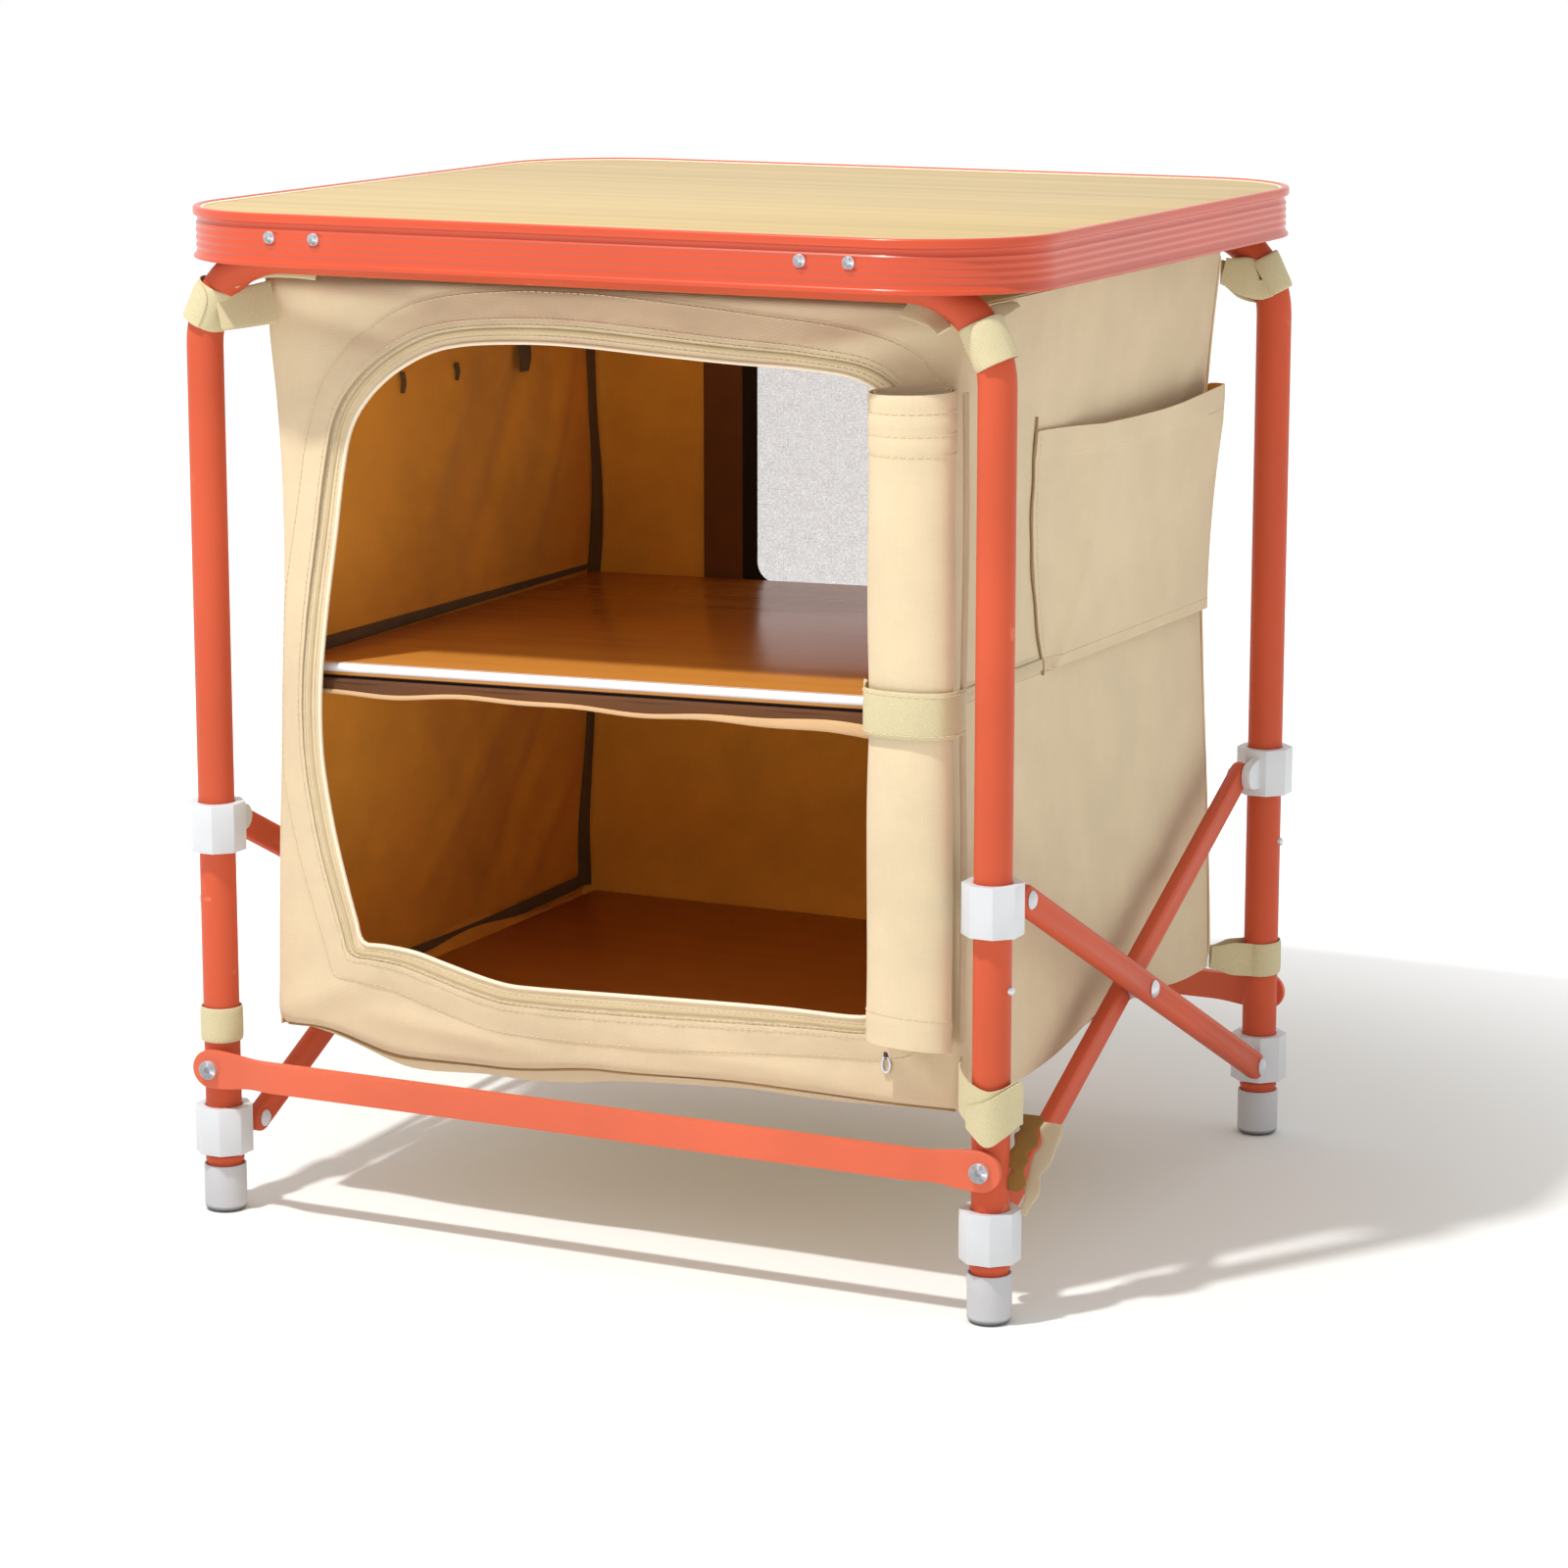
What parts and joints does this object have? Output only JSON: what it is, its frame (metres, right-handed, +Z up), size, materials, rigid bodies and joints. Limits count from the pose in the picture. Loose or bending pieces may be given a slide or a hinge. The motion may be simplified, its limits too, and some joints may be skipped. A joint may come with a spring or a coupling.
{
  "type": "folding camp cupboard",
  "caption": "Folding camp cupboard: a ribbed-rim table top on scissor-braced tube frames, with a cloth bag, an inner shelf, a rolled door and a side pocket.",
  "frame": {"origin": "on the floor, under the middle of the cupboard", "axes": "+X to the right seen from the door, +Y to the back, +Z up; the door is at -Y"},
  "size_m": [0.5, 0.473, 0.56],
  "materials": {
    "table_panel": "satin bamboo-look laminate, grain along X",
    "table_rim": "satin coral anodised aluminium, ribbed",
    "coral_paint": "satin coral powder coat",
    "collar_plastic": "pale grey moulded plastic",
    "foot_plastic": "grey moulded plastic",
    "bright_steel": "bright plated steel",
    "canvas": "khaki woven canvas",
    "webbing": "cream woven webbing",
    "screen": "pale grey fine screen cloth",
    "board": "satin bamboo board",
    "pale_aluminium": "satin drawn aluminium"
  },
  "bodies": {
    "front_frame": {"front_frame_tube": "coral_paint", "front_cross_bar": "coral_paint", "front_bar_rivet_left": "bright_steel", "foot_front_left": "foot_plastic", "lower_collar_front_left": "collar_plastic", "strap_front_left_upper": "webbing", "strap_front_left_lower": "webbing", "front_bar_rivet_right": "bright_steel", "foot_front_right": "foot_plastic", "lower_collar_front_right": "collar_plastic", "strap_front_right_upper": "webbing", "strap_front_right_lower": "webbing", "bag_front": "canvas", "bag_back": "canvas", "bag_left": "canvas", "bag_right": "canvas", "bag_bottom": "canvas", "bag_top": "canvas", "window_net": "screen", "side_pocket": "canvas", "shelf_sling": "canvas", "door_roll": "canvas", "door_strap": "webbing"},
    "rear_frame": {"rear_frame_tube": "coral_paint", "rear_cross_bar": "coral_paint", "rear_bar_rivet_left": "bright_steel", "foot_rear_left": "foot_plastic", "lower_collar_rear_left": "collar_plastic", "strap_rear_left_upper": "webbing", "strap_rear_left_lower": "webbing", "rear_bar_rivet_right": "bright_steel", "foot_rear_right": "foot_plastic", "lower_collar_rear_right": "collar_plastic", "strap_rear_right_upper": "webbing", "strap_rear_right_lower": "webbing"},
    "table_top": {"top_panel": "table_panel", "top_rim": "table_rim", "saddle_front_left": "bright_steel", "saddle_front_right": "bright_steel", "saddle_rear_left": "bright_steel", "saddle_rear_right": "bright_steel"},
    "shelf": {"shelf_board": "board"},
    "shelf_rail": {"shelf_front_rail": "pale_aluminium"},
    "floor": {"floor_board": "board"},
    "zip_tag": {"zip_pull": "bright_steel"},
    "left_inner_brace": {"brace_inner_left": "coral_paint", "centre_pivot_left": "bright_steel"},
    "left_outer_brace": {"brace_outer_left": "coral_paint"},
    "front_left_collar": {"upper_collar_front_left": "collar_plastic"},
    "front_left_button": {"snap_button_front_left": "bright_steel"},
    "rear_left_collar": {"upper_collar_rear_left": "collar_plastic"},
    "rear_left_button": {"snap_button_rear_left": "bright_steel"},
    "right_inner_brace": {"brace_inner_right": "coral_paint", "centre_pivot_right": "bright_steel"},
    "right_outer_brace": {"brace_outer_right": "coral_paint"},
    "front_right_collar": {"upper_collar_front_right": "collar_plastic"},
    "front_right_button": {"snap_button_front_right": "bright_steel"},
    "rear_right_collar": {"upper_collar_rear_right": "collar_plastic"},
    "rear_right_button": {"snap_button_rear_right": "bright_steel"}
  },
  "joints": [
    {"name": "fold", "type": "hinge", "parent": "front_frame", "child": "right_inner_brace", "pos_m": [0.2262, -0.175, 0.047], "axis": [1, 0, 0], "range_deg": [0, 60], "deforming": ["bag_back", "bag_left", "bag_right", "bag_bottom", "bag_top", "window_net", "side_pocket", "shelf_sling"]},
    {"name": "top_lift", "type": "slide", "parent": "front_frame", "child": "table_top", "axis": [0, 0, 1], "range_m": [0, 0.12]},
    {"name": "left_inner_turn", "type": "hinge", "parent": "front_frame", "child": "left_inner_brace", "pos_m": [-0.2262, -0.175, 0.047], "axis": [1, 0, 0], "range_deg": [0, 60]},
    {"name": "left_cross_turn", "type": "hinge", "parent": "left_inner_brace", "child": "left_outer_brace", "pos_m": [-0.233, 0, 0.13325], "axis": [1, 0, 0], "range_deg": [-120, 0]},
    {"name": "front_left_collar_turn", "type": "hinge", "parent": "left_outer_brace", "child": "front_left_collar", "pos_m": [-0.233, -0.175, 0.2195], "axis": [1, 0, 0], "range_deg": [0, 60]},
    {"name": "rear_left_collar_turn", "type": "hinge", "parent": "left_inner_brace", "child": "rear_left_collar", "pos_m": [-0.233, 0.175, 0.2195], "axis": [1, 0, 0], "range_deg": [-60, 0]},
    {"name": "right_cross_turn", "type": "hinge", "parent": "right_inner_brace", "child": "right_outer_brace", "pos_m": [0.233, 0, 0.13325], "axis": [1, 0, 0], "range_deg": [-120, 0]},
    {"name": "front_right_collar_turn", "type": "hinge", "parent": "right_outer_brace", "child": "front_right_collar", "pos_m": [0.233, -0.175, 0.2195], "axis": [1, 0, 0], "range_deg": [0, 60]},
    {"name": "rear_right_collar_turn", "type": "hinge", "parent": "right_inner_brace", "child": "rear_right_collar", "pos_m": [0.233, 0.175, 0.2195], "axis": [1, 0, 0], "range_deg": [-60, 0]},
    {"name": "rear_frame_turn", "type": "hinge", "parent": "right_outer_brace", "child": "rear_frame", "pos_m": [0.233, 0.175, 0.047], "axis": [1, 0, 0], "range_deg": [0, 60]},
    {"name": "rail_drop", "type": "slide", "parent": "front_frame", "child": "shelf_rail", "axis": [0, 0, -1], "range_m": [0, 0.165]},
    {"name": "shelf_tip", "type": "hinge", "parent": "shelf_rail", "child": "shelf", "pos_m": [0, -0.174, 0.314], "axis": [1, 0, 0], "range_deg": [0, 84]},
    {"name": "floor_tip", "type": "hinge", "parent": "front_frame", "child": "floor", "pos_m": [0, -0.163, 0.118], "axis": [1, 0, 0], "range_deg": [0, 84]},
    {"name": "front_left_press", "type": "slide", "parent": "front_frame", "child": "front_left_button", "axis": [1, 0, 0], "range_m": [0, 0.0025], "stiffness_N_per_m": 400, "springref_m": -0.003},
    {"name": "front_right_press", "type": "slide", "parent": "front_frame", "child": "front_right_button", "axis": [-1, 0, 0], "range_m": [0, 0.0025], "stiffness_N_per_m": 400, "springref_m": -0.003},
    {"name": "rear_left_press", "type": "slide", "parent": "rear_frame", "child": "rear_left_button", "axis": [1, 0, 0], "range_m": [0, 0.0025], "stiffness_N_per_m": 400, "springref_m": -0.003},
    {"name": "rear_right_press", "type": "slide", "parent": "rear_frame", "child": "rear_right_button", "axis": [-1, 0, 0], "range_m": [0, 0.0025], "stiffness_N_per_m": 400, "springref_m": -0.003},
    {"name": "zip_swing", "type": "hinge", "parent": "front_frame", "child": "zip_tag", "pos_m": [0.166, -0.1834, 0.137], "axis": [-1, 0, 0], "range_deg": [0, 85]}
  ],
  "couplings": [
    {"joint": "left_inner_turn", "follows": "fold", "ratio": 1},
    {"joint": "left_cross_turn", "follows": "fold", "ratio": -2},
    {"joint": "front_left_collar_turn", "follows": "fold", "ratio": 1},
    {"joint": "rear_left_collar_turn", "follows": "fold", "ratio": -1},
    {"joint": "right_cross_turn", "follows": "fold", "ratio": -2},
    {"joint": "front_right_collar_turn", "follows": "fold", "ratio": 1},
    {"joint": "rear_right_collar_turn", "follows": "fold", "ratio": -1},
    {"joint": "rear_frame_turn", "follows": "fold", "ratio": 1},
    {"joint": "rail_drop", "follows": "fold", "m_per_rad": 0.1575},
    {"joint": "shelf_tip", "follows": "fold", "ratio": 1.4},
    {"joint": "floor_tip", "follows": "fold", "ratio": 1.4}
  ]
}
